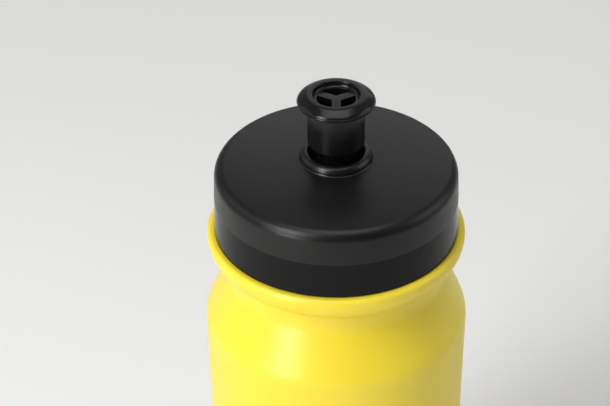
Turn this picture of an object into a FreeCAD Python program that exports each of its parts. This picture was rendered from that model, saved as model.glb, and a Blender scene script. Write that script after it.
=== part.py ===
import FreeCAD, Part
import math
import os

import Sketcher

# Squeeze bottle for a bicycle cage, with a screw lid and a push-pull drinking nozzle.
# Millimetres, +Z up, origin on the floor at the centre of the base. Everything is round about Z,
# and the model stands with the lid screwed down and the nozzle pulled up, which is open.

SIZES = [
    # the blow-moulded bottle
    ("seat_level", 148.0, "height of the lip's upper face, which the lid's skirt ends just above"),
    ("wall_radius", 36.2, "straight cylindrical wall that a cage grips"),
    ("ridge_swell", 0.58, "how far the ridge stands out from the wall, before it is rounded"),
    ("ridge_drop", 28.05, "from the lip's upper face down to the ridge"),
    ("ridge_blend", 9.5, "rounding of the ridge"),
    ("flank_length", 33.0, "stretch below the ridge over which the wall swells"),
    ("shoulder_rise", 14.4, "height of the cone from the ridge to the waist"),
    ("waist_step", 0.6, "how much wider the waist is than the neck"),
    ("waist_height", 5.15, "straight part of the waist"),
    ("waist_blend_low", 8.0, "hollow rounding between shoulder and waist"),
    ("waist_blend_high", 1.8, "hollow rounding between waist and lip"),
    ("lip_proud", 1.79, "how far the lip stands out from the lid's skirt"),
    ("lip_height", 5.58, "lip's side before it is rounded"),
    ("lip_blend", 6.9, "large rounding of the lip's lower side"),
    ("lip_crest", 1.28, "small rounding of the lip's upper edge"),
    ("bottle_wall", 1.1, "wall of the body"),
    ("heel_blend", 6.0, "rounding at the foot of the wall"),
    ("foot_width", 9.2, "from the wall to the inner edge of the ring that it stands on"),
    ("dish_width", 6.5, "slope between that ring and the base's flat middle"),
    ("push_up", 4.5, "depth of the pushed-up base"),
    ("dish_blend", 2.5, "roundings of the pushed-up base"),
    ("neck_radius", 30.0, "outside of the neck under the thread"),
    ("neck_height", 17.0, "from the lip's upper face to the rim"),
    ("neck_wall", 1.8, "wall of the neck"),
    ("rim_blend", 0.5, "roundings of the rim"),
    # the screw thread, which neck and lid share
    ("thread_pitch", 4.5, "rise for each turn"),
    ("thread_turns", 1.5, "turns of the ridge"),
    ("thread_first", 5.5, "first turn's middle above the lip's upper face"),
    ("thread_depth", 1.25, "how far a ridge stands out"),
    ("thread_foot", 2.3, "width of a ridge where it stands"),
    ("thread_crest", 1.3, "width of a ridge at its crest"),
    ("thread_play", 0.4, "radial clearance between crest and wall"),
    ("thread_slack", 0.3, "clearance between the flanks that pull the lid down"),
    ("thread_bite", 0.3, "how deep a ridge is rooted in its wall"),
    # the lid
    ("lid_gap", 0.25, "gap between the lip and the lid's skirt"),
    ("skirt_wall", 2.21, "wall of the skirt at its lower edge"),
    ("band_taper", 0.45, "how much the lower band narrows towards its top"),
    ("band_height", 10.2, "height of the lower band"),
    ("band_step", 0.08, "how far the upper band overhangs the lower one"),
    ("lid_taper", 0.32, "how much the upper band narrows towards its top"),
    ("lid_height", 19.45, "from the lower edge to the upper corner"),
    ("lid_blend", 3.15, "rounding of the lid's upper edge"),
    ("lid_crown", 2.95, "how much higher the lid's top is in the middle"),
    ("lid_top", 1.8, "thickness of the crowned top"),
    ("collar_width", 1.98, "wall of the collar round the nozzle"),
    ("collar_flat", 0.23, "flat left on the collar's crest"),
    ("collar_height", 4.95, "collar's crest above the lid's upper corner"),
    ("collar_foot", 0.45, "hollow rounding where the collar meets the top"),
    ("cup_wall", 1.5, "wall of the cup below the top"),
    ("cup_floor", 1.5, "thickness of the cup's floor"),
    # the lid's gasket
    ("gasket_thickness", 1.25, "thickness of the flat ring"),
    ("gasket_gap", 0.05, "clearance on each face of the ring"),
    ("gasket_side", 0.15, "clearance round the ring"),
    ("gasket_overhang", 0.6, "how far it reaches inside the neck's bore"),
    # the valve stem
    ("stem_radius", 5.65, "outside of the stem that the nozzle slides on"),
    ("stem_wall", 1.25, "wall of the stem"),
    ("stem_rise", 6.8, "stem's shoulder above the collar's crest"),
    ("stem_fit", 0.1, "clearance of the stem in the lid's hole"),
    ("flange_proud", 2.35, "how far the flange under the cup's floor stands out"),
    ("flange_thickness", 1.3, "thickness of that flange"),
    ("snap_height", 0.7, "height of the bead that holds the stem in the lid"),
    ("snap_proud", 0.35, "how far that bead stands out"),
    ("stop_height", 0.5, "height of the bead that stops the nozzle"),
    ("stop_proud", 0.3, "how far that bead stands out"),
    ("port_width", 5.0, "width of each side port"),
    ("port_height", 1.4, "height of each side port"),
    ("port_sill", 0.1, "from the stop bead to the ports"),
    ("port_roof", 0.6, "from the ports' top to the shoulder"),
    ("head_step", 0.75, "how much narrower the closing plug is than the stem"),
    ("head_height", 1.15, "height of the plug"),
    ("head_bevel", 0.3, "bevel of the plug's edge"),
    # the nozzle
    ("nozzle_travel", 6.0, "how far the nozzle is pushed down to close it"),
    ("running_fit", 0.08, "radial clearance where the nozzle slides"),
    ("stop_gap", 0.1, "clearance at the nozzle's two stops"),
    ("cup_gap", 0.5, "clearance under the nozzle when it is pushed down"),
    ("chamber_gap", 0.75, "flow gap round the stem inside the nozzle"),
    ("barrel_wall", 1.38, "wall of the barrel"),
    ("guide_height", 4.0, "part of the nozzle that runs on the stem"),
    ("taper_height", 3.0, "taper at the nozzle's lower end"),
    ("guide_wall", 0.3, "wall at the taper's lower end"),
    ("ring_proud", 2.82, "how far the ring that the teeth grip stands out"),
    ("ring_height", 2.6, "height of the ring"),
    ("ring_side", 0.65, "height of the ring's upright side"),
    ("ring_shoulder", 0.75, "width of the steep slope above that side"),
    ("ring_drop", 1.15, "from the ring's crest down to the top of that slope"),
    ("ring_slope", 1.95, "width of the gentle slope that rises to the crest"),
    ("ring_blend", 0.4, "rounding of the ring's upright side"),
    ("shoulder_blend", 3.0, "rounding between the two slopes"),
    ("crest_blend", 2.5, "rounding of the crest"),
    ("mouth_blend", 0.25, "rounding of the mouth's edge"),
    ("mouth_depth", 1.45, "from the ring's crest down to the grid"),
    ("mouth_flare", 0.42, "how much wider the mouth is at its edge than at the grid"),
    ("mouth_ledge", 0.8, "ledge round the grid's windows"),
    ("window_step", 0.25, "how much wider the windows reach than the seat"),
    ("seat_height", 1.75, "height of the seat that the plug enters"),
    ("grid_thickness", 1.8, "thickness of the three-armed grid"),
    ("arm_width", 2.5, "width of the grid's arms"),
    # the nozzle's seal
    ("seal_section", 0.9, "thickness of the O-ring"),
    ("seal_fit", 0.05, "clearance round the O-ring"),
    ("seal_rise", 2.2, "groove's lower side above the nozzle's lower end"),
]

THREE_FOLD = 3                 # ports of the stem, and windows of the grid
ARM_ANGLE = 30.0               # degrees from +X to one arm of the grid; another points along -Y
SAME_PLACE = 1e-4              # how close an edge has to lie to the place that it is looked for

doc = FreeCAD.newDocument("cage_bottle")
sheet = doc.addObject("Spreadsheet::Sheet", "Sizes")
for row, (alias, value, note) in enumerate(SIZES, start=1):
    sheet.set(f"A{row}", alias)
    sheet.set(f"B{row}", str(value))
    sheet.set(f"C{row}", note)
    sheet.setAlias(f"B{row}", alias)
doc.recompute()


class Size:
    """A length: its value now, and the expression that keeps it bound to the sheet."""

    def __init__(self, value, text):
        self.value, self.text = value, text

    def __add__(self, other):
        other = as_size(other)
        return Size(self.value + other.value, f"({self.text} + {other.text})")

    def __sub__(self, other):
        other = as_size(other)
        return Size(self.value - other.value, f"({self.text} - {other.text})")

    def __mul__(self, other):
        other = as_size(other)
        return Size(self.value * other.value, f"({self.text} * {other.text})")

    def __truediv__(self, other):
        other = as_size(other)
        return Size(self.value / other.value, f"({self.text} / {other.text})")


def as_size(item):
    return item if isinstance(item, Size) else Size(float(item), f"{item}")


def root(size):
    return Size(math.sqrt(size.value), f"sqrt({size.text})")


L = {alias: Size(float(sheet.get(alias)), f"Sizes.{alias}") for alias, _, _ in SIZES}
AXIS = as_size(0)
FLOOR = as_size(0)


# ---------------------------------------------------------------- sketches and features

def bind(thing, prop, size):
    """Set a property and keep it bound to the sheet."""
    setattr(thing, prop, size.value)
    thing.setExpression(prop, size.text)


def origin_part(body, role):
    return next(part for part in body.Origin.OriginFeatures if part.Role == role)


def new_body(label):
    body = doc.addObject("PartDesign::Body", label)
    body.Label = label
    body.Placement = FreeCAD.Placement()
    return body


def new_sketch(body, name, role="XZ_Plane"):
    sketch = body.newObject("Sketcher::SketchObject", name)
    sketch.AttachmentSupport = [(origin_part(body, role), "")]
    sketch.MapMode = "FlatFace"
    return sketch


def constrain(sketch, kind, *place, size=None):
    """Add one constraint, bound to the sheet where it has a size."""
    if size is None:
        sketch.addConstraint(Sketcher.Constraint(kind, *place))
        return
    index = sketch.addConstraint(Sketcher.Constraint(kind, *place, size.value))
    sketch.setExpression(f"Constraints[{index}]", size.text)


def locate(sketch, side, x, y):
    """Hold the start of a side at x, y from the origin."""
    for kind, size, axis in (("DistanceX", x, -2), ("DistanceY", y, -1)):
        if size.value == 0:
            constrain(sketch, "PointOnObject", side, 1, axis)
        else:
            constrain(sketch, kind, side, 1, size=size)


def add_side(sketch, start, end, bowed):
    """A straight side, or one bowed upwards about a point on the axis, which runs inwards."""
    if not bowed:
        return sketch.addGeometry(Part.LineSegment(start, end))
    level = (start.y + end.y + (start.x ** 2 - end.x ** 2) / (start.y - end.y)) / 2
    centre = FreeCAD.Vector(0, level, 0)
    circle = Part.Circle(centre, FreeCAD.Vector(0, 0, 1), (start - centre).Length)
    angles = [math.atan2(point.y - level, point.x) for point in (start, end)]
    return sketch.addGeometry(Part.ArcOfCircle(circle, *angles))


def point_of(corner):
    return FreeCAD.Vector(corner[0].value, corner[1].value, 0)


def outline(sketch, corners, bowed=()):
    """A closed chain of sides through corners, each an (x, y) pair; side i starts at corner i."""
    count = len(corners)
    points = [point_of(corner) for corner in corners]
    for i in range(count):
        add_side(sketch, points[i], points[(i + 1) % count], i in bowed)
    for i in range(count):
        constrain(sketch, "Coincident", (i - 1) % count, 2, i, 1)
        locate(sketch, i, *corners[i])
        if i in bowed:
            constrain(sketch, "PointOnObject", i, 3, -2)


def inner_corner(before, corner, after, gap):
    """The corner of a chain moved by gap to the left of both sides that meet there."""
    sides = [(corner - before).normalize(), (after - corner).normalize()]
    first, second = [FreeCAD.Vector(-side.y, side.x, 0) for side in sides]
    return corner + (first + second) * (gap / (1 + first.dot(second)))


def shell_outline(sketch, outer, bore, wall):
    """
    The section of a shell: its outer corners from the axis to the rim, the two corners of its
    bore, and then a wall that keeps its thickness behind each outer side, back to the axis.
    Gives the outer corners and the inner ones behind them, as points.
    """
    points = [point_of(corner) for corner in outer]
    followed = range(len(outer) - 3, 0, -1)
    inner = {i: inner_corner(points[i - 1], points[i], points[i + 1], wall.value) for i in followed}
    first, last = outer[0], (outer[0][0], outer[0][1] + wall)
    chain = points + [point_of(corner) for corner in bore] + list(inner.values()) + [point_of(last)]
    count = len(chain)
    for i in range(count):
        sketch.addGeometry(Part.LineSegment(chain[i], chain[(i + 1) % count]))
    for i in range(count):
        constrain(sketch, "Coincident", (i - 1) % count, 2, i, 1)
    for i, corner in enumerate(list(outer) + list(bore)):
        locate(sketch, i, *corner)
    for step, i in enumerate(followed, start=len(outer) + len(bore)):
        constrain(sketch, "Distance", step, 1, i - 1, size=wall)
        constrain(sketch, "Distance", step, 1, i, size=wall)
    locate(sketch, count - 1, *last)
    return points, inner


def revolve(body, name, sketch):
    turned = body.newObject("PartDesign::Revolution", name)
    turned.Profile = sketch
    turned.ReferenceAxis = (sketch, ["V_Axis"])
    turned.Angle = 360.0
    doc.recompute()
    return turned


def ring_edges(shape, spots):
    """Names of the circular edges about Z at the given points (radius, level)."""
    names = []
    for spot in spots:
        found = [f"Edge{i}" for i, edge in enumerate(shape.Edges, start=1)
                 if isinstance(edge.Curve, Part.Circle)
                 and abs(edge.Curve.Radius - spot.x) < SAME_PLACE
                 and abs(edge.Curve.Center.z - spot.y) < SAME_PLACE]
        if not found:
            raise RuntimeError(f"no ring edge at radius {spot.x:.3f}, level {spot.y:.3f}")
        names += found
    return names


def dress(body, kind, name, spots, size):
    """Round (Fillet) or bevel (Chamfer) the ring edges at spots."""
    base = body.Tip
    feature = body.newObject(f"PartDesign::{kind}", name)
    feature.Base = (base, ring_edges(base.Shape, spots))
    bind(feature, "Radius" if kind == "Fillet" else "Size", size)
    doc.recompute()
    return feature


def thread_ridge(body, name, foot_radius, crest_radius, level):
    """A helical ridge with its foot in a wall; it stands out to crest_radius."""
    sketch = new_sketch(body, f"{name}_section")
    foot, crest = L["thread_foot"] / 2, L["thread_crest"] / 2
    outline(sketch, [(foot_radius, level - foot), (crest_radius, level - crest),
                     (crest_radius, level + crest), (foot_radius, level + foot)])
    ridge = body.newObject("PartDesign::AdditiveHelix", name)
    ridge.Profile = sketch
    ridge.ReferenceAxis = (origin_part(body, "Z_Axis"), [""])
    ridge.Mode = 0
    bind(ridge, "Pitch", L["thread_pitch"])
    bind(ridge, "Height", L["thread_pitch"] * L["thread_turns"])
    ridge.HasBeenEdited = True
    doc.recompute()
    return ridge


def three_times(body, name, feature):
    pattern = body.newObject("PartDesign::PolarPattern", name)
    pattern.Originals = [feature]
    pattern.Axis = (origin_part(body, "Z_Axis"), [""])
    pattern.Angle = 360.0
    pattern.Occurrences = THREE_FOLD
    body.Tip = pattern
    doc.recompute()
    return pattern


# ---------------------------------------------------------------- shared radii and levels

seat = L["seat_level"]
rim = seat + L["neck_height"]
neck_bore = L["neck_radius"] - L["neck_wall"]
skirt_bore = L["neck_radius"] + L["thread_depth"] + L["thread_play"]
skirt_radius = skirt_bore + L["skirt_wall"]

lid_low = seat + L["lid_gap"]
lid_corner = lid_low + L["lid_height"]
collar_crest = lid_corner + L["collar_height"]
shoulder = collar_crest + L["stem_rise"]
port_top = shoulder - L["port_roof"]
port_low = port_top - L["port_height"]
stop_top = port_low - L["port_sill"]
stop_low = stop_top - L["stop_height"]
guide_top = stop_low - L["stop_gap"]
nozzle_low = guide_top - L["guide_height"]
floor_top = nozzle_low - L["nozzle_travel"] - L["cup_gap"] - L["snap_height"]
floor_low = floor_top - L["cup_floor"]

stem_radius = L["stem_radius"]
stem_bore = stem_radius - L["stem_wall"]
head_radius = stem_radius - L["head_step"]
guide_bore = stem_radius + L["running_fit"]
chamber_radius = stem_radius + L["chamber_gap"]
barrel_radius = chamber_radius + L["barrel_wall"]
cup_bore = barrel_radius + L["running_fit"]

seal_middle = stem_radius + L["seal_fit"] + L["seal_section"] / 2
seal_outside = seal_middle + L["seal_section"] / 2 + L["seal_fit"]
groove_low = nozzle_low + L["seal_rise"]
groove_top = groove_low + L["seal_section"] + L["seal_fit"] * 2

gasket_inside = neck_bore - L["gasket_overhang"]
gasket_low = rim + L["gasket_gap"]
gasket_top = gasket_low + L["gasket_thickness"]
lid_under = gasket_top + L["gasket_gap"]


# ---------------------------------------------------------------- the pieces

def make_squeeze_bottle():
    """A thin blown shell: pushed-up base, straight wall, ridge, waist, lip and threaded neck."""
    body = new_body("squeeze_bottle")
    wall = L["bottle_wall"]
    foot_radius = L["wall_radius"] - L["foot_width"]
    waist_radius = L["neck_radius"] + L["waist_step"]
    lip_radius = skirt_radius + L["lip_proud"]
    ridge_level = seat - L["ridge_drop"]
    waist_level = ridge_level + L["shoulder_rise"]
    outer = [
        (AXIS, L["push_up"]),
        (foot_radius - L["dish_width"], L["push_up"]),
        (foot_radius, FLOOR),
        (L["wall_radius"], FLOOR),
        (L["wall_radius"], ridge_level - L["flank_length"]),
        (L["wall_radius"] + L["ridge_swell"], ridge_level),
        (waist_radius, waist_level),
        (waist_radius, waist_level + L["waist_height"]),
        (lip_radius, seat - L["lip_height"]),
        (lip_radius, seat),
        (L["neck_radius"], seat),
        (L["neck_radius"], rim),
    ]
    dish, foot, heel, _, ridge, waist, groove, lip_low, lip_high = range(1, 10)
    bore = [(neck_bore, rim), (neck_bore, seat - wall)]
    sketch = new_sketch(body, "bottle_section")
    points, inner = shell_outline(sketch, outer, bore, wall)
    revolve(body, "bottle_shell", sketch)

    # roundings: a corner that stands out is tighter inside the wall, and a hollow one wider
    for name, corner, size in (("heel", heel, L["heel_blend"]), ("foot", foot, L["dish_blend"]),
                               ("ridge", ridge, L["ridge_blend"]), ("lip", lip_low, L["lip_blend"])):
        dress(body, "Fillet", f"{name}_outside", [points[corner]], size)
        dress(body, "Fillet", f"{name}_inside", [inner[corner]], size - wall)
    for name, corner, size in (("dish", dish, L["dish_blend"]), ("waist", waist, L["waist_blend_low"]),
                               ("groove", groove, L["waist_blend_high"])):
        dress(body, "Fillet", f"{name}_outside", [points[corner]], size)
        dress(body, "Fillet", f"{name}_inside", [inner[corner]], size + wall)
    dress(body, "Fillet", "lip_edge", [points[lip_high]], L["lip_crest"])
    dress(body, "Fillet", "rim_edges", [points[-1], point_of(bore[0])], L["rim_blend"])
    thread_ridge(body, "neck_thread", L["neck_radius"] - L["thread_bite"],
                 L["neck_radius"] + L["thread_depth"], seat + L["thread_first"])
    return body


def make_screw_lid():
    """A skirt of two bands, a crowned top, and a collar with a cup that the nozzle sinks into."""
    body = new_body("screw_lid")
    band_level = lid_low + L["band_height"]
    band_radius = skirt_radius - L["band_taper"]
    upper_radius = band_radius + L["band_step"]
    corner_radius = upper_radius - L["lid_taper"]
    collar_radius = cup_bore + L["collar_width"]
    cup_outside = cup_bore + L["cup_wall"]
    crown = L["lid_crown"]
    bow = (corner_radius * corner_radius + crown * crown) / (crown * 2)

    def crown_level(radius):
        return lid_corner + crown - bow + root(bow * bow - radius * radius)

    corners = [
        (skirt_radius, lid_low),
        (band_radius, band_level),
        (upper_radius, band_level),
        (corner_radius, lid_corner),
        (collar_radius, crown_level(collar_radius)),
        (collar_radius, collar_crest),
        (cup_bore, collar_crest),
        (cup_bore, floor_top),
        (stem_radius + L["stem_fit"], floor_top),
        (stem_radius + L["stem_fit"], floor_low),
        (cup_outside, floor_low),
        (cup_outside, crown_level(cup_outside) - L["lid_top"]),
        (gasket_inside, lid_under),
        (skirt_bore, lid_under),
        (skirt_bore, lid_low),
    ]
    top_edge, collar_foot, collar_edge = 3, 4, 5
    sketch = new_sketch(body, "lid_section")
    outline(sketch, corners, bowed=(top_edge,))
    revolve(body, "lid_shell", sketch)
    for name, corner, size in (("top_edge", top_edge, L["lid_blend"]),
                               ("collar_edge", collar_edge, L["collar_width"] - L["collar_flat"]),
                               ("collar_foot", collar_foot, L["collar_foot"])):
        dress(body, "Fillet", name, [point_of(corners[corner])], size)
    ridge_drop = (L["thread_foot"] + L["thread_crest"]) / 2 + L["thread_slack"]
    thread_ridge(body, "lid_thread", skirt_bore + L["thread_bite"],
                 L["neck_radius"] + L["thread_play"], seat + L["thread_first"] - ridge_drop)
    return body


def make_lid_gasket():
    """A flat soft ring between the lid's underside and the neck's rim."""
    body = new_body("lid_gasket")
    outside = skirt_bore - L["gasket_side"]
    sketch = new_sketch(body, "gasket_section")
    outline(sketch, [(gasket_inside, gasket_low), (outside, gasket_low),
                     (outside, gasket_top), (gasket_inside, gasket_top)])
    revolve(body, "gasket_ring", sketch)
    return body


def make_valve_stem():
    """A tube with side ports and a plug at its tip, held in the cup's floor by flange and bead."""
    body = new_body("valve_stem")
    flange_radius = stem_radius + L["flange_proud"]
    head_top = shoulder + L["head_height"]
    corners = [
        (stem_bore, floor_low - L["flange_thickness"]),
        (flange_radius, floor_low - L["flange_thickness"]),
        (flange_radius, floor_low),
        (stem_radius, floor_low),
        (stem_radius, floor_top),
        (stem_radius + L["snap_proud"], floor_top),
        (stem_radius, floor_top + L["snap_height"]),
        (stem_radius, stop_low),
        (stem_radius + L["stop_proud"], stop_low),
        (stem_radius, stop_top),
        (stem_radius, shoulder),
        (head_radius, shoulder),
        (head_radius, head_top),
        (AXIS, head_top),
        (AXIS, port_top),
        (stem_bore, port_top),
    ]
    head_edge = 12
    sketch = new_sketch(body, "stem_section")
    outline(sketch, corners)
    revolve(body, "stem_tube", sketch)
    dress(body, "Chamfer", "head_edge", [point_of(corners[head_edge])], L["head_bevel"])

    opening = new_sketch(body, "port_opening")
    half = L["port_width"] / 2
    across = AXIS - half
    outline(opening, [(across, port_low), (half, port_low), (half, port_top), (across, port_top)])
    before = body.Tip.Shape.Volume
    port = body.newObject("PartDesign::Pocket", "port")
    port.Profile = opening
    port.Type = "Length"
    bind(port, "Length", stem_radius + L["stop_proud"])
    doc.recompute()
    three_times(body, "ports", port)
    if body.Tip.Shape.Volume >= before:
        raise RuntimeError("the ports cut nothing")
    return body


def make_nozzle():
    """Barrel and gripping ring in one piece, with a three-armed grid across the mouth."""
    body = new_body("nozzle")
    seat_low = shoulder + L["stop_gap"] + L["nozzle_travel"]
    seat_top = seat_low + L["seat_height"]
    grid_top = seat_top + L["grid_thickness"]
    crest = grid_top + L["mouth_depth"]
    seat_bore = head_radius + L["running_fit"]
    window_radius = seat_bore + L["window_step"]
    well_radius = window_radius + L["mouth_ledge"]
    mouth_radius = well_radius + L["mouth_flare"]
    ring_radius = barrel_radius + L["ring_proud"]
    ring_low = crest - L["ring_height"]
    shoulder_radius = ring_radius - L["ring_shoulder"]
    corners = [
        (guide_bore, nozzle_low),
        (guide_bore + L["guide_wall"], nozzle_low),
        (barrel_radius, nozzle_low + L["taper_height"]),
        (barrel_radius, ring_low),
        (ring_radius, ring_low),
        (ring_radius, ring_low + L["ring_side"]),
        (shoulder_radius, crest - L["ring_drop"]),
        (shoulder_radius - L["ring_slope"], crest),
        (mouth_radius, crest),
        (well_radius, grid_top),
        (AXIS, grid_top),
        (AXIS, seat_top),
        (seat_bore, seat_top),
        (seat_bore, seat_low),
        (chamber_radius, seat_low),
        (chamber_radius, guide_top),
        (guide_bore, guide_top),
        (guide_bore, groove_top),
        (seal_outside, groove_top),
        (seal_outside, groove_low),
        (guide_bore, groove_low),
    ]
    side_edge, shoulder_edge, crest_edge, mouth_edge = 5, 6, 7, 8
    sketch = new_sketch(body, "nozzle_section")
    outline(sketch, corners)
    revolve(body, "nozzle_tube", sketch)
    for name, corner, size in (("crest_edge", crest_edge, L["crest_blend"]),
                               ("shoulder_edge", shoulder_edge, L["shoulder_blend"]),
                               ("side_edge", side_edge, L["ring_blend"]),
                               ("mouth_edge", mouth_edge, L["mouth_blend"])):
        dress(body, "Fillet", name, [point_of(corners[corner])], size)

    # one window lies between the arm along -Y and the arm at ARM_ANGLE; an arc closes it outside
    half = L["arm_width"] / 2
    spread = math.radians(90 + ARM_ANGLE)
    slant = math.asin(half.value / window_radius.value)
    middle = math.radians(ARM_ANGLE) - spread / 2
    tip = half.value / math.sin(spread / 2)

    def at(radius, angle):
        return FreeCAD.Vector(radius * math.cos(angle), radius * math.sin(angle), 0)

    first, second = -math.pi / 2 + slant, math.radians(ARM_ANGLE) - slant
    inner, low, high = at(tip, middle), at(window_radius.value, first), at(window_radius.value, second)
    window = new_sketch(body, "window_outline", "XY_Plane")
    window.addGeometry(Part.LineSegment(inner, low))
    circle = Part.Circle(FreeCAD.Vector(), FreeCAD.Vector(0, 0, 1), window_radius.value)
    window.addGeometry(Part.ArcOfCircle(circle, first, second))
    window.addGeometry(Part.LineSegment(high, inner))
    for side, after in ((0, 1), (1, 2), (2, 0)):
        constrain(window, "Coincident", side, 2, after, 1)
    constrain(window, "Coincident", 1, 3, -1, 1)
    constrain(window, "Radius", 1, size=window_radius)
    constrain(window, "Vertical", 0)
    constrain(window, "Distance", -1, 1, 0, size=half)
    constrain(window, "Distance", -1, 1, 2, size=half)
    window.addConstraint(Sketcher.Constraint("Angle", -1, 1, 2, 2, math.radians(ARM_ANGLE)))

    # the window's sketch lies at the grid's upper face, and is cut down as deep as the grid is thick
    window.AttachmentOffset = FreeCAD.Placement(FreeCAD.Vector(0, 0, grid_top.value), FreeCAD.Rotation())
    window.setExpression("AttachmentOffset.Base.z", grid_top.text)
    doc.recompute()
    before = body.Tip.Shape.Volume
    cut = body.newObject("PartDesign::Pocket", "window")
    cut.Profile = window
    cut.Type = "Length"
    bind(cut, "Length", L["grid_thickness"])
    doc.recompute()
    three_times(body, "windows", cut)
    if body.Tip.Shape.Volume >= before:
        raise RuntimeError("the windows cut nothing")
    return body


def make_nozzle_seal():
    """An O-ring in the nozzle's groove, which runs on the stem."""
    ring = doc.addObject("Part::Torus", "nozzle_seal")
    ring.Label = "nozzle_seal"
    bind(ring, "Radius1", seal_middle)
    bind(ring, "Radius2", L["seal_section"] / 2)
    level = (groove_low + groove_top) / 2
    ring.Placement = FreeCAD.Placement(FreeCAD.Vector(0, 0, level.value), FreeCAD.Rotation())
    ring.setExpression("Placement.Base.z", level.text)
    return ring


pieces = [make_squeeze_bottle(), make_screw_lid(), make_lid_gasket(), make_valve_stem(),
          make_nozzle(), make_nozzle_seal()]
doc.recompute()

for thing in doc.Objects:
    if "Invalid" in thing.State or "Error" in thing.State:
        raise RuntimeError(f"{thing.Label} failed: {thing.State}")
for piece in pieces:
    if piece.Shape.isNull() or not piece.Shape.isValid() or len(piece.Shape.Solids) != 1:
        raise RuntimeError(f"{piece.Label} is not one valid solid")

os.makedirs("parts", exist_ok=True)
for piece in pieces:
    piece.Shape.exportStep(f"parts/{piece.Label}.step")
    box = piece.Shape.BoundBox
    print(f"{piece.Label}: {piece.Shape.Volume / 1000:.2f} cm3, Z {box.ZMin:.2f} to {box.ZMax:.2f}")
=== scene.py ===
import math

import bmesh
import bpy
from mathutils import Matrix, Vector, noise


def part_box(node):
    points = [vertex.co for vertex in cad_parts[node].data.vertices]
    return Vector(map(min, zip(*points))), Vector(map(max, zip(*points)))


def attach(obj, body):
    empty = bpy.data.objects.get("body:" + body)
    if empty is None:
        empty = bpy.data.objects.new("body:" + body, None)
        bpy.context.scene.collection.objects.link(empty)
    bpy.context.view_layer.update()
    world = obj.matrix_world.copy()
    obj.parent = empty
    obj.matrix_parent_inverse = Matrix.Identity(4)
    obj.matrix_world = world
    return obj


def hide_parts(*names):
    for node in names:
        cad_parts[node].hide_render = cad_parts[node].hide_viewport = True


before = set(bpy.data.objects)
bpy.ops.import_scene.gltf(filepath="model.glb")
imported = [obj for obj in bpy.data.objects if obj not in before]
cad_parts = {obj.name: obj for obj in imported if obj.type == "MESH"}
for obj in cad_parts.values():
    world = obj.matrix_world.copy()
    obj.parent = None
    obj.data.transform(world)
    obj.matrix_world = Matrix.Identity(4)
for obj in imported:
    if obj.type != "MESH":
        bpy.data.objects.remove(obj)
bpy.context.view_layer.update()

MM = 0.001
TURNS = 256                    # segments round a turned piece
THREAD_CELL = 0.2              # longest side of a mesh cell along a threaded wall, in millimetres
BAND_CELL = 0.8                # along the lid's lower band
NOZZLE_CELL = 2.0
LID_CELL = 3.0
BOTTLE_CELL = 4.0

# ---------------------------------------------------------------- sizes, in millimetres

lid_box, bottle_box, nozzle_box = (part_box(node) for node in ("screw_lid", "squeeze_bottle", "nozzle"))
LID_LOW, COLLAR_CREST = (corner.z / MM for corner in lid_box)
SKIRT_RADIUS = lid_box[1].x / MM
RIM = bottle_box[1].z / MM
NOZZLE_LOW, CREST = (corner.z / MM for corner in nozzle_box)
RING_RADIUS = nozzle_box[1].x / MM

# bottle
SEAT = RIM - 17.0              # the lip's upper face
BOTTLE_WALL = 1.1
WALL_RADIUS = 36.2
RIDGE_CORNER = (36.78, SEAT - 28.05)
FLANK_LENGTH = 33.0
WAIST_RADIUS = 30.6
WAIST_LOW = RIDGE_CORNER[1] + 14.4
WAIST_HIGH = WAIST_LOW + 5.15
LIP_RADIUS = SKIRT_RADIUS + 1.79
LIP_HEIGHT = 5.58
NECK_RADIUS = 30.0
NECK_BORE = 28.2
FOOT_RADIUS = 27.0
DISH_RADIUS = 20.5
PUSH_UP = 4.5

# screw thread
PITCH = 4.5
THREAD_TURNS = 1.5
THREAD_FIRST = SEAT + 5.5
THREAD_DEPTH = 1.25
THREAD_FOOT = 2.3
THREAD_TIP = 1.3
LID_THREAD_DROP = 2.1          # the lid's ridge runs this far under the neck's

# lid
BAND = LID_LOW + 10.2
BAND_RADIUS = SKIRT_RADIUS - 0.45
UPPER_RADIUS = BAND_RADIUS + 0.08
CORNER_RADIUS = UPPER_RADIUS - 0.32
LID_CORNER = LID_LOW + 19.45
CROWN = 2.95
SKIRT_BORE = 31.65
LID_UNDER = RIM + 1.35
GASKET_INSIDE = 27.6
THREAD_END_CLEAR = 0.5         # the lid's thread stays this far inside the skirt's ends
BAND_WAVE = 0.030              # how far the lower band's surface wanders, as moulded
WAVES_ROUND = 0.16             # how many of its waves there are to a millimetre, round the band and up it
WAVES_UP = 0.10
CUP_BORE = 7.86
COLLAR_RADIUS = 9.84
CUP_OUTSIDE = 9.36
CUP_FLOOR = NOZZLE_LOW - 7.2
CUP_FLOOR_LOW = CUP_FLOOR - 1.5
STEM_HOLE = 5.75

# nozzle
BARREL = 7.78
TAPER_HEIGHT = 3.0
LOWER_WALL = 0.3
GUIDE_BORE = 5.73
GUIDE_TOP = NOZZLE_LOW + 4.0
GROOVE_LOW = NOZZLE_LOW + 2.2
GROOVE_RADIUS = 6.65
GROOVE_HEIGHT = 1.0
CHAMBER = 6.4
SEAT_BORE = 4.98
GRID_TOP = CREST - 1.45
GRID_THICKNESS = 1.8
NOZZLE_SEAT_LOW = GRID_TOP - GRID_THICKNESS - 1.75
WINDOW_RADIUS = 5.23
WELL_RADIUS = 6.03
MOUTH_RADIUS = 6.45
RING_LOW = CREST - 2.6
ARM_WIDTH = 2.5
ARM_OVERLAP = 0.25             # the arms reach this far into the windows' wall
ARM_ROUNDING = 0.14
# grip ring's side, as (in from its radius, up from its underside, blend): a lip, a crease and a dome's foot
RING_SIDE = [(0.12, 0, 0.15), (0, 0.35, 0.2), (0.10, 0.62, 0.12), (0.24, 0.66, 0.05), (0.20, 0.95, 0.5)]

# strength of the room's light, in front of the bottle and behind it
FRONT_LIGHT = 0.13
BACK_LIGHT = 0.26

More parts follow.
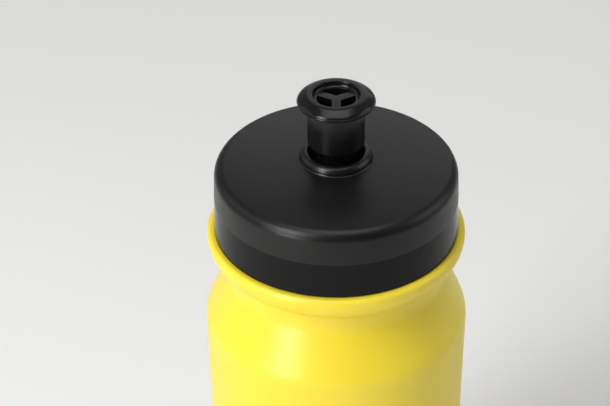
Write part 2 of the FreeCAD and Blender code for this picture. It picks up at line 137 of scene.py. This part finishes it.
# stage and camera: metres, degrees and the lens in millimetres
FLOOR_HALF = 6.0
LIGHT_TARGET = (0, 0, 0.15)
LENS = 132.8
LENS_SHIFT = -0.0512
CAMERA_DISTANCE = 0.62212      # from the middle of the lip
CAMERA_RISE = 35.58
CAMERA_PITCH = 35.05


# ---------------------------------------------------------------- outlines and turned meshes

def rounded(corners, step=5.0):
    """
    Points along an outline whose corners are (radius, level, blend): blend is the radius of the corner's
    rounding, which gets a point about every `step` degrees of its turn.
    """
    points = []
    for i, (x, y, blend) in enumerate(corners):
        here = Vector((x, y))
        if not blend or i in (0, len(corners) - 1):
            points.append(here)
            continue
        to_before = (Vector(corners[i - 1][:2]) - here).normalized()
        to_after = (Vector(corners[i + 1][:2]) - here).normalized()
        opening = to_before.angle(to_after)
        reach = blend / math.tan(opening / 2)
        centre = here + (to_before + to_after).normalized() * (blend / math.sin(opening / 2))
        first = here + to_before * reach - centre
        last = here + to_after * reach - centre
        turn = math.atan2(first.x * last.y - first.y * last.x, first.dot(last))
        count = max(2, math.ceil(abs(math.degrees(turn)) / step))
        for k in range(count + 1):
            swing = turn * k / count
            points.append(centre + Vector((first.x * math.cos(swing) - first.y * math.sin(swing),
                                           first.x * math.sin(swing) + first.y * math.cos(swing))))
    return points


def even(points, longest):
    """The same outline with its long runs divided, so that no side is longer than `longest`."""
    out = [points[0]]
    for a, b in zip(points, points[1:]):
        count = max(1, math.ceil((b - a).length / longest))
        out += [a.lerp(b, k / count) for k in range(1, count + 1)]
    return out


def inner_corners(corners, wall):
    """The corners behind an outline at a wall's distance to its left, each with its own rounding."""
    out = []
    for before, here, after in zip(corners, corners[1:], corners[2:]):
        a, b, c = (Vector(p[:2]) for p in (before, here, after))
        first, second = (b - a).normalized(), (c - b).normalized()
        left_a, left_b = Vector((-first.y, first.x)), Vector((-second.y, second.x))
        corner = b + (left_a + left_b) * (wall / (1 + left_a.dot(left_b)))
        stands_out = first.x * second.y - first.y * second.x > 0
        blend = max(0.05, here[2] - wall) if stands_out else here[2] + wall
        out.append((corner.x, corner.y, blend if here[2] else 0))
    return out


def turned(name, outline, closed=False, shift=None, slot_of=None):
    """
    A mesh made by turning an outline about Z. A point on the axis becomes one vertex. shift(radius, level,
    angle) may move a point, and slot_of(start, end) gives the material slot of the side between two points.
    """
    bm = bmesh.new()
    rings = []
    for radius, level in outline:
        if radius < 1e-6:
            rings.append([bm.verts.new((0, 0, level * MM))])
            continue
        ring = []
        for k in range(TURNS):
            angle = 2 * math.pi * k / TURNS
            r, z = shift(radius, level, angle) if shift else (radius, level)
            ring.append(bm.verts.new((r * MM * math.cos(angle), r * MM * math.sin(angle), z * MM)))
        rings.append(ring)
    spans = list(zip(range(len(rings)), range(1, len(rings)))) + ([(len(rings) - 1, 0)] if closed else [])
    for i, j in spans:
        low, high = rings[i], rings[j]
        slot = slot_of(outline[i], outline[j]) if slot_of else 0
        if len(low) == len(high) == 1:
            continue
        for k in range(TURNS):
            n = (k + 1) % TURNS
            if len(low) == 1:
                face = bm.faces.new((low[0], high[n], high[k]))
            elif len(high) == 1:
                face = bm.faces.new((low[k], low[n], high[0]))
            else:
                face = bm.faces.new((low[k], low[n], high[n], high[k]))
            face.material_index = slot
    return finished(name, bm)


def finished(name, bm, sharp=35.0):
    """The object of a bmesh, smooth except at edges that turn by more than `sharp` degrees."""
    bmesh.ops.recalc_face_normals(bm, faces=bm.faces)
    for face in bm.faces:
        face.smooth = True
    for edge in bm.edges:
        edge.smooth = len(edge.link_faces) == 2 and edge.calc_face_angle() < math.radians(sharp)
    mesh = bpy.data.meshes.new(name)
    bm.to_mesh(mesh)
    bm.free()
    piece = bpy.data.objects.new(name, mesh)
    bpy.context.scene.collection.objects.link(piece)
    return piece


# ---------------------------------------------------------------- material nodes

def new_material(name, colour, roughness, **values):
    """A material with a Principled shader, whose plain values are set on its own sockets."""
    material = bpy.data.materials.new(name)
    material.use_nodes = True
    shader = material.node_tree.nodes["Principled BSDF"]
    shader.inputs["Base Color"].default_value = (*colour, 1)
    shader.inputs["Roughness"].default_value = roughness
    for socket, value in values.items():
        shader.inputs[socket.replace("_", " ")].default_value = value
    return material, shader


def add(material, kind, **values):
    node = material.node_tree.nodes.new(kind)
    for key, value in values.items():
        if hasattr(node, key):
            setattr(node, key, value)
        else:
            node.inputs[key.replace("_", " ")].default_value = value
    return node


def link(material, out, into):
    material.node_tree.links.new(out, into)


def grain(material, size, detail=3.0, roughness=0.55, distortion=0.0):
    """Noise over the object's own space, with grains about `size` millimetres across."""
    place = add(material, "ShaderNodeTexCoord")
    node = add(material, "ShaderNodeTexNoise", Scale=1 / (size * MM), Detail=detail,
               Roughness=roughness, Distortion=distortion)
    link(material, place.outputs["Object"], node.inputs["Vector"])
    return node.outputs["Fac"]


def spread(material, source, low, high, from_low=0.3, from_high=0.7):
    """Map a noise onto a range of values."""
    node = add(material, "ShaderNodeMapRange")
    for socket, value in (("From Min", from_low), ("From Max", from_high), ("To Min", low), ("To Max", high)):
        node.inputs[socket].default_value = value
    link(material, source, node.inputs["Value"])
    return node.outputs["Result"]


def bumps(material, shader, layers):
    """Chain bump maps, each (height source, depth in millimetres, strength), into the shader's normal."""
    normal = None
    for source, depth, strength in layers:
        node = add(material, "ShaderNodeBump", Strength=strength, Distance=depth * MM)
        link(material, source, node.inputs["Height"])
        if normal:
            link(material, normal, node.inputs["Normal"])
        normal = node.outputs["Normal"]
    link(material, normal, shader.inputs["Normal"])


def tint(material, shader, source, first, second):
    """Blend the base colour between two colours by a noise."""
    ramp = add(material, "ShaderNodeValToRGB")
    ramp.color_ramp.elements[0].position, ramp.color_ramp.elements[1].position = 0.3, 0.7
    ramp.color_ramp.elements[0].color = (*first, 1)
    ramp.color_ramp.elements[1].color = (*second, 1)
    link(material, source, ramp.inputs["Fac"])
    link(material, ramp.outputs["Color"], shader.inputs["Base Color"])


def yellow_polyethylene():
    """Blown polyethylene: satin, a little milky, with slow waves from the mould and a faint orange peel."""
    material, shader = new_material("yellow_polyethylene", (0.86, 0.66, 0.035), 0.36,
                                    Subsurface_Weight=0.10, Subsurface_Scale=0.004,
                                    Subsurface_Radius=(1.0, 0.7, 0.15), IOR=1.5)
    tint(material, shader, grain(material, 22, detail=2), (0.85, 0.645, 0.033), (0.87, 0.675, 0.038))
    link(material, spread(material, grain(material, 5.0, detail=1), 0.33, 0.37), shader.inputs["Roughness"])
    bumps(material, shader, [(grain(material, 12.0, detail=1), 0.06, 0.30),
                             (grain(material, 0.9, detail=1), 0.004, 0.20)])
    return material


def lid_texture():
    """Spark-eroded black: satin, with a fine grain that softens highlights."""
    material, shader = new_material("black_lid_textured", (0.0045, 0.0043, 0.0041), 0.34, IOR=1.46,
                                    Specular_IOR_Level=0.34)
    tint(material, shader, grain(material, 14, detail=3), (0.0040, 0.0038, 0.0036), (0.0052, 0.0049, 0.0046))
    link(material, spread(material, grain(material, 1.2), 0.31, 0.38), shader.inputs["Roughness"])
    bumps(material, shader, [(grain(material, 6.0, detail=1), 0.03, 0.25),
                             (grain(material, 0.30, detail=4, roughness=0.7), 0.010, 0.35)])
    return material


def smooth_black(name, roughness, wave, specular=0.5):
    """Smooth moulded black with slow waves in its surface, wave millimetres deep, and fine scuffs."""
    material, shader = new_material(name, (0.0040, 0.0038, 0.0037), roughness, IOR=1.46,
                                    Specular_IOR_Level=specular)
    link(material, spread(material, grain(material, 2.2, detail=4), roughness * 0.8, roughness * 1.3),
         shader.inputs["Roughness"])
    bumps(material, shader, [(grain(material, 7.0, detail=2, distortion=0.4), wave, 0.6),
                             (grain(material, 0.5, detail=3), 0.006, 0.25)])
    return material


def soft_rubber(name, colour, roughness):
    material, shader = new_material(name, colour, roughness, IOR=1.5)
    link(material, spread(material, grain(material, 1.5), roughness * 0.9, min(1.0, roughness * 1.15)),
         shader.inputs["Roughness"])
    bumps(material, shader, [(grain(material, 0.4, detail=3), 0.01, 0.3)])
    return material


def pale_floor():
    material, shader = new_material("pale_floor", (0.80, 0.80, 0.79), 0.9)
    tint(material, shader, grain(material, 400, detail=2), (0.79, 0.79, 0.78), (0.81, 0.81, 0.80))
    bumps(material, shader, [(grain(material, 0.8, detail=2), 0.01, 0.1)])
    return material


# ---------------------------------------------------------------- pieces

def thread_rise(level, angle, first, outward=True):
    """How far the helical ridge stands out at a level and an angle, in millimetres."""
    best = 0.0
    for turn in range(math.ceil(THREAD_TURNS) + 1):
        run = angle / (2 * math.pi) + turn
        if run > THREAD_TURNS:
            continue
        ease = min(1.0, 12 * run, 12 * (THREAD_TURNS - run))
        off = abs(level - first - PITCH * run)
        slope = (THREAD_FOOT / 2 - off) / ((THREAD_FOOT - THREAD_TIP) / 2)
        best = max(best, ease * THREAD_DEPTH * min(1.0, max(0.0, slope)))
    return best if outward else -best


def make_bottle():
    """The blown shell: base, wall, ridge, shoulder, waist, lip and threaded neck, with its inside."""
    outer = [
        (0, PUSH_UP, 0),
        (DISH_RADIUS, PUSH_UP, 2.5),
        (FOOT_RADIUS, 0, 2.5),
        (WALL_RADIUS, 0, 6.0),
        (WALL_RADIUS, RIDGE_CORNER[1] - FLANK_LENGTH, 400.0),
        (*RIDGE_CORNER, 9.5),
        (WAIST_RADIUS, WAIST_LOW, 8.0),
        (WAIST_RADIUS, WAIST_HIGH, 1.8),
        (LIP_RADIUS, SEAT - LIP_HEIGHT, 6.9),
        (LIP_RADIUS, SEAT, 1.28),
        (NECK_RADIUS, SEAT, 0.0),
        (NECK_RADIUS, RIM, 0.5),
    ]
    inner = inner_corners(outer[:-2] + [(NECK_BORE, SEAT, 0)], BOTTLE_WALL)
    bore = [(NECK_BORE, RIM, 0.5), (NECK_BORE, SEAT - BOTTLE_WALL, 0)]
    chain = outer + bore + inner[::-1] + [(0, PUSH_UP + BOTTLE_WALL, 0)]
    outline = rounded(chain, step=3.0)

    divided = [outline[0]]
    for a, b in zip(outline, outline[1:]):
        on_neck = min(a.y, b.y) > SEAT - 0.01 and min(a.x, b.x) > NECK_RADIUS - 0.1 and abs(a.x - b.x) < 0.01
        divided += even([a, b], THREAD_CELL if on_neck else BOTTLE_CELL)[1:]

    def shift(radius, level, angle):
        if level > SEAT + 0.1 and abs(radius - NECK_RADIUS) < 0.01:
            return radius + thread_rise(level, angle, THREAD_FIRST), level
        return radius, level

    return turned("bottle_body", divided, shift=shift)


def crown_level(radius):
    """Level of the lid's crowned top."""
    bow = (CORNER_RADIUS ** 2 + CROWN ** 2) / (2 * CROWN)
    return LID_CORNER + CROWN - bow + math.sqrt(bow ** 2 - radius ** 2)


def make_lid():
    """Skirt of two bands, crowned top, collar and cup, with the thread inside the skirt."""
    crown = [(radius, crown_level(radius), 0) for radius in (27, 24, 21, 18, 15, 12.5)]
    corners = [
        (SKIRT_RADIUS - 1.0, LID_LOW, 0),
        (SKIRT_RADIUS, LID_LOW, 0.25),
        (BAND_RADIUS, BAND, 0.06),
        (UPPER_RADIUS, BAND, 0.05),
        (CORNER_RADIUS, LID_CORNER, 3.15),
        *crown,
        (COLLAR_RADIUS, crown_level(COLLAR_RADIUS), 0.45),
        (COLLAR_RADIUS, COLLAR_CREST, 1.75),
        (CUP_BORE, COLLAR_CREST, 0.10),
        (CUP_BORE, CUP_FLOOR, 0.4),
        (STEM_HOLE, CUP_FLOOR, 0),
        (STEM_HOLE, CUP_FLOOR_LOW, 0),
        (CUP_OUTSIDE, CUP_FLOOR_LOW, 0.3),
        (CUP_OUTSIDE, crown_level(CUP_OUTSIDE) - 1.8, 0.0),
        (GASKET_INSIDE, LID_UNDER, 0),
        (SKIRT_BORE, LID_UNDER, 0),
        (SKIRT_BORE, LID_LOW, 0.3),
        (SKIRT_RADIUS - 1.0, LID_LOW, 0),
    ]
    outline = rounded(corners, step=4.0)[:-1]
    divided = [outline[0]]
    for a, b in zip(outline, outline[1:]):
        in_skirt = abs(a.x - b.x) < 0.01 and abs(a.x - SKIRT_BORE) < 0.01
        on_band = abs(a.x - b.x) < 0.5 and a.x > BAND_RADIUS - 0.1 and a.y < BAND
        cell = THREAD_CELL if in_skirt else BAND_CELL if on_band else LID_CELL
        divided += even([a, b], cell)[1:]

    def shift(radius, level, angle):
        if abs(radius - SKIRT_BORE) < 0.01 and (
                LID_LOW + THREAD_END_CLEAR < level < LID_UNDER - THREAD_END_CLEAR):
            return radius + thread_rise(level, angle, THREAD_FIRST - LID_THREAD_DROP, outward=False), level
        if radius > BAND_RADIUS - 0.05 and level < BAND - 0.3:
            place = Vector((math.cos(angle), math.sin(angle), 0)) * radius * WAVES_ROUND
            place.z = level * WAVES_UP
            return radius + BAND_WAVE * noise.noise(place), level
        return radius, level

    textured, glossy, satin = 0, 1, 2

    def slot_of(a, b):
        if max(a.x, b.x) < COLLAR_RADIUS + 0.3 and max(a.y, b.y) > CUP_FLOOR_LOW:
            return satin
        outside = min(a.y, b.y) > LID_UNDER + 0.5 or min(a.x, b.x) > SKIRT_BORE + 0.5
        above_band = max(a.x, b.x) > COLLAR_RADIUS + 0.3 and min(a.y, b.y) > BAND - 0.01
        return textured if above_band and outside else glossy

    return turned("lid_shell", divided, closed=True, shift=shift, slot_of=slot_of)


def make_nozzle():
    """Barrel, grip ring and mouth, turned, with the three-armed grid joined across the windows."""
    outline = rounded([
        (GUIDE_BORE, NOZZLE_LOW, 0),
        (GUIDE_BORE + LOWER_WALL, NOZZLE_LOW, 0.1),
        (BARREL, NOZZLE_LOW + TAPER_HEIGHT, 0.3),
        (BARREL, RING_LOW, 0.35),
        *[(RING_RADIUS - inward, RING_LOW + up, blend) for inward, up, blend in RING_SIDE],
        (RING_RADIUS - 0.75, CREST - 1.15, 2.4),
        (RING_RADIUS - 2.70, CREST, 2.6),
        (MOUTH_RADIUS, CREST, 0.35),
        (WELL_RADIUS, GRID_TOP, 0.75),
        (WINDOW_RADIUS, GRID_TOP, 0.08),
        (WINDOW_RADIUS, GRID_TOP - GRID_THICKNESS, 0),
        (SEAT_BORE, GRID_TOP - GRID_THICKNESS, 0),
        (SEAT_BORE, NOZZLE_SEAT_LOW, 0.15),
        (CHAMBER, NOZZLE_SEAT_LOW, 0),
        (CHAMBER, GUIDE_TOP, 0),
        (GUIDE_BORE, GUIDE_TOP, 0),
        (GUIDE_BORE, GROOVE_LOW + GROOVE_HEIGHT, 0),
        (GROOVE_RADIUS, GROOVE_LOW + GROOVE_HEIGHT, 0),
        (GROOVE_RADIUS, GROOVE_LOW, 0),
        (GUIDE_BORE, GROOVE_LOW, 0),
        (GUIDE_BORE, NOZZLE_LOW, 0),
    ], step=4.0)[:-1]
    shell = turned("nozzle_body", even(outline, NOZZLE_CELL), closed=True)
    join(shell, make_grid())
    return shell


def make_grid():
    """Three arms that meet in the middle and end inside the windows' wall."""
    half = ARM_WIDTH / 2
    reach = WINDOW_RADIUS + ARM_OVERLAP
    bm = bmesh.new()
    rim = []
    for k in range(3):
        arm = math.radians(-90 + 120 * k)
        along = Vector((math.cos(arm), math.sin(arm), 0))
        across = Vector((-along.y, along.x, 0))
        notch = arm + math.radians(60)
        inner = Vector((math.cos(notch), math.sin(notch), 0)) * (half / math.sin(math.radians(60)))
        rim += [along * reach - across * half, along * reach + across * half, inner]
    top = GRID_TOP - 0.03
    upper = [bm.verts.new((p + Vector((0, 0, top))) * MM) for p in rim]
    face = bm.faces.new(upper)
    extruded = bmesh.ops.extrude_face_region(bm, geom=[face])
    lower = [item for item in extruded["geom"] if isinstance(item, bmesh.types.BMVert)]
    bmesh.ops.translate(bm, verts=lower, vec=(0, 0, -(GRID_THICKNESS - 0.1) * MM))
    long_edges = [edge for edge in bm.edges if abs(edge.verts[0].co.z - edge.verts[1].co.z) < 1e-7]
    bmesh.ops.bevel(bm, geom=long_edges, offset=ARM_ROUNDING * MM, segments=3, affect="EDGES", profile=0.6)
    return finished("nozzle_grid", bm, sharp=50)


def join(whole, part):
    bpy.ops.object.select_all(action="DESELECT")
    part.select_set(True)
    whole.select_set(True)
    bpy.context.view_layer.objects.active = whole
    bpy.ops.object.join()


def dress(piece, *materials):
    """Put materials in a piece's slots, whose numbers its faces keep."""
    for k, material in enumerate(materials):
        if k < len(piece.material_slots):
            piece.material_slots[k].material = material
        else:
            piece.data.materials.append(material)


# ---------------------------------------------------------------- build

textured_black = lid_texture()
band_black = smooth_black("black_lid_smooth", 0.08, 0.08, specular=0.17)
collar_black = smooth_black("black_lid_collar", 0.26, 0.012, specular=0.42)
nozzle_black = smooth_black("black_nozzle_plastic", 0.20, 0.010, specular=0.36)
valve_black = smooth_black("black_valve_plastic", 0.28, 0.01)

bottle = make_bottle()
dress(bottle, yellow_polyethylene())
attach(bottle, "bottle")
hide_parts("squeeze_bottle")

lid = make_lid()
dress(lid, textured_black, band_black, collar_black)
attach(lid, "lid")
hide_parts("screw_lid")

nozzle = make_nozzle()
dress(nozzle, nozzle_black)
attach(nozzle, "nozzle")
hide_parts("nozzle")

dress(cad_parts["valve_stem"], valve_black)
dress(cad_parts["lid_gasket"], soft_rubber("soft_gasket", (0.50, 0.50, 0.48), 0.6))
dress(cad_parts["nozzle_seal"], soft_rubber("black_rubber", (0.02, 0.02, 0.02), 0.5))


# ---------------------------------------------------------------- stage, light and camera

def make_floor():
    bm = bmesh.new()
    bmesh.ops.create_grid(bm, x_segments=1, y_segments=1, size=FLOOR_HALF)
    floor = finished("floor", bm)
    dress(floor, pale_floor())


def aim(thing, target):
    thing.rotation_euler = (Vector(target) - thing.location).to_track_quat("-Z", "Y").to_euler()


def area_light(name, azimuth, elevation, distance, size, power):
    """A soft box, seen from the lid at an azimuth from the front, to the right, and an elevation."""
    data = bpy.data.lights.new(name, "AREA")
    data.shape = "RECTANGLE"
    data.size, data.size_y = size
    data.energy = power
    light = bpy.data.objects.new(name, data)
    turn, rise = math.radians(azimuth), math.radians(elevation)
    arm = Vector((math.sin(turn) * math.cos(rise), -math.cos(turn) * math.cos(rise), math.sin(rise)))
    light.location = Vector(LIGHT_TARGET) + arm * distance
    bpy.context.scene.collection.objects.link(light)
    aim(light, LIGHT_TARGET)


def make_world():
    """Plain room light, fixed in the room: a little weaker in front of the bottle than behind it."""
    world = bpy.data.worlds.new("studio")
    bpy.context.scene.world = world
    world.use_nodes = True
    tree = world.node_tree
    background = tree.nodes["Background"]
    place = tree.nodes.new("ShaderNodeTexCoord")
    split = tree.nodes.new("ShaderNodeSeparateXYZ")
    depth = tree.nodes.new("ShaderNodeMapRange")
    background.inputs["Color"].default_value = (1, 1, 1, 1)
    depth.inputs["From Min"].default_value = -1.0
    depth.inputs["To Min"].default_value = FRONT_LIGHT
    depth.inputs["To Max"].default_value = BACK_LIGHT
    tree.links.new(place.outputs["Generated"], split.inputs["Vector"])
    tree.links.new(split.outputs["Y"], depth.inputs["Value"])
    tree.links.new(depth.outputs["Result"], background.inputs["Strength"])


def make_camera():
    """The camera looks down on the lid from in front, with the bottle a little right of the middle."""
    data = bpy.data.cameras.new("camera")
    data.sensor_width = 36.0
    data.lens = LENS
    data.shift_x = LENS_SHIFT
    camera = bpy.data.objects.new("camera", data)
    rise = math.radians(CAMERA_RISE)
    camera.location = (0, -CAMERA_DISTANCE * math.cos(rise),
                       (SEAT + 0.05) * MM + CAMERA_DISTANCE * math.sin(rise))
    camera.rotation_euler = (math.radians(90 - CAMERA_PITCH), 0, 0)
    bpy.context.scene.collection.objects.link(camera)
    bpy.context.scene.camera = camera


make_floor()
make_world()
area_light("key", -45, 28, 0.95, (0.36, 0.60), 4.6)
area_light("low_key", -42, 0, 0.95, (0.26, 0.10), 2.2)
area_light("high_key", -50, 48, 0.95, (0.30, 0.30), 2.6)
area_light("left_fill", -100, 25, 1.2, (0.9, 0.9), 1.6)
area_light("overhead", 0, 88, 1.2, (0.9, 0.9), 5.6)
area_light("right_fill", 95, 25, 1.2, (0.9, 0.9), 3.0)
area_light("back_fill", 172, 30, 1.3, (1.1, 0.9), 1.6)
make_camera()
bpy.context.scene.view_settings.view_transform = "Standard"
